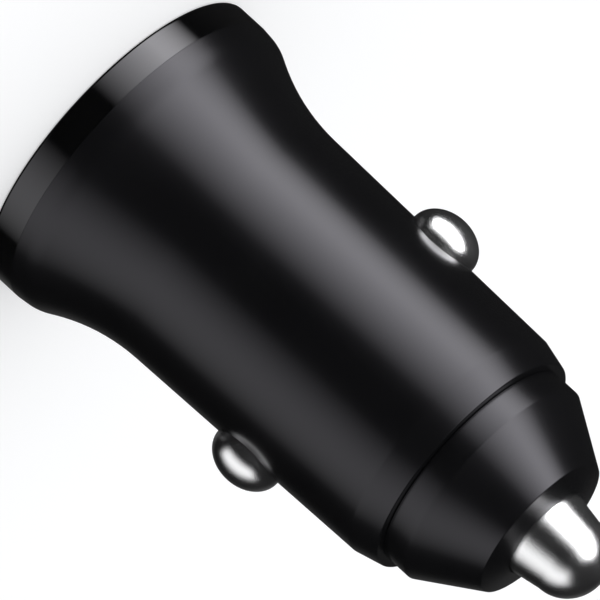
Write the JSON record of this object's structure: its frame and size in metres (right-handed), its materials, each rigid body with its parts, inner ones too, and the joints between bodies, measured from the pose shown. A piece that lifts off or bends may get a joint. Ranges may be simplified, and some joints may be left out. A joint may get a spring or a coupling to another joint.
{
  "type": "car usb charger plug",
  "caption": "Black plug-in charger for a car's 12 V socket, with a flared head, stacked USB-A ports, sprung side contacts and a sprung centre contact.",
  "frame": {"origin": "centre of the head's rim plane, which the plug stands on", "axes": "+Z along the plug from the head to the tip contact; the side contacts lie on X; the ports' wide sides run along X"},
  "size_m": [0.0258, 0.0258, 0.0483],
  "materials": {
    "polished_black": "polished black moulding",
    "satin_black": "satin-gloss black moulding",
    "plate_black": "fine matt black moulding",
    "contact_chrome": "bright chrome plate",
    "spring_steel": "drawn spring wire",
    "lug_brass": "stamped brass",
    "port_steel": "nickel-plated sheet",
    "strip_gold": "gold-plated strip",
    "tongue_plastic": "black moulded insulator",
    "carrier_plastic": "dark moulded nylon",
    "board_green": "green solder mask",
    "ferrite_grey": "grey ferrite",
    "can_aluminium": "drawn aluminium can",
    "component_black": "moulded epoxy package",
    "chip_ceramic": "fired ceramic with tinned ends"
  },
  "bodies": {
    "body": {"front_ring": "polished_black", "port_plate": "plate_black", "housing": "satin_black", "nose_cap": "satin_black", "tip_spring": "spring_steel", "tip_spring_seat": "lug_brass", "ground_spring_left": "spring_steel", "ground_spring_right": "spring_steel", "ground_lug_left": "lug_brass", "ground_lug_right": "lug_brass", "contact_carrier_left": "carrier_plastic", "contact_carrier_right": "carrier_plastic", "circuit_board": "board_green", "usb_shell_upper": "port_steel", "usb_shell_lower": "port_steel", "usb_tongue_upper": "tongue_plastic", "usb_tongue_lower": "tongue_plastic", "usb_contacts_upper": "strip_gold", "usb_contacts_lower": "strip_gold", "inductor": "ferrite_grey", "capacitor_input": "can_aluminium", "capacitor_output": "can_aluminium", "controller_chip": "component_black", "rectifier_diode": "component_black", "chip_components": "chip_ceramic"},
    "centre_contact": {"centre_contact": "contact_chrome"},
    "ground_contact_left": {"ground_contact_left": "contact_chrome"},
    "ground_contact_right": {"ground_contact_right": "contact_chrome"}
  },
  "joints": [
    {"name": "centre_contact_push", "type": "slide", "parent": "body", "child": "centre_contact", "axis": [0, 0, -1], "range_m": [0, 0.0023], "stiffness_N_per_m": 400, "springref_m": -0.0025, "deforming": ["tip_spring"]},
    {"name": "left_contact_push", "type": "slide", "parent": "body", "child": "ground_contact_left", "axis": [1, 0, 0], "range_m": [0, 0.0019], "stiffness_N_per_m": 300, "springref_m": -0.0015, "deforming": ["ground_spring_left"]},
    {"name": "right_contact_push", "type": "slide", "parent": "body", "child": "ground_contact_right", "axis": [-1, 0, 0], "range_m": [0, 0.0019], "stiffness_N_per_m": 300, "springref_m": -0.0015, "deforming": ["ground_spring_right"]}
  ]
}
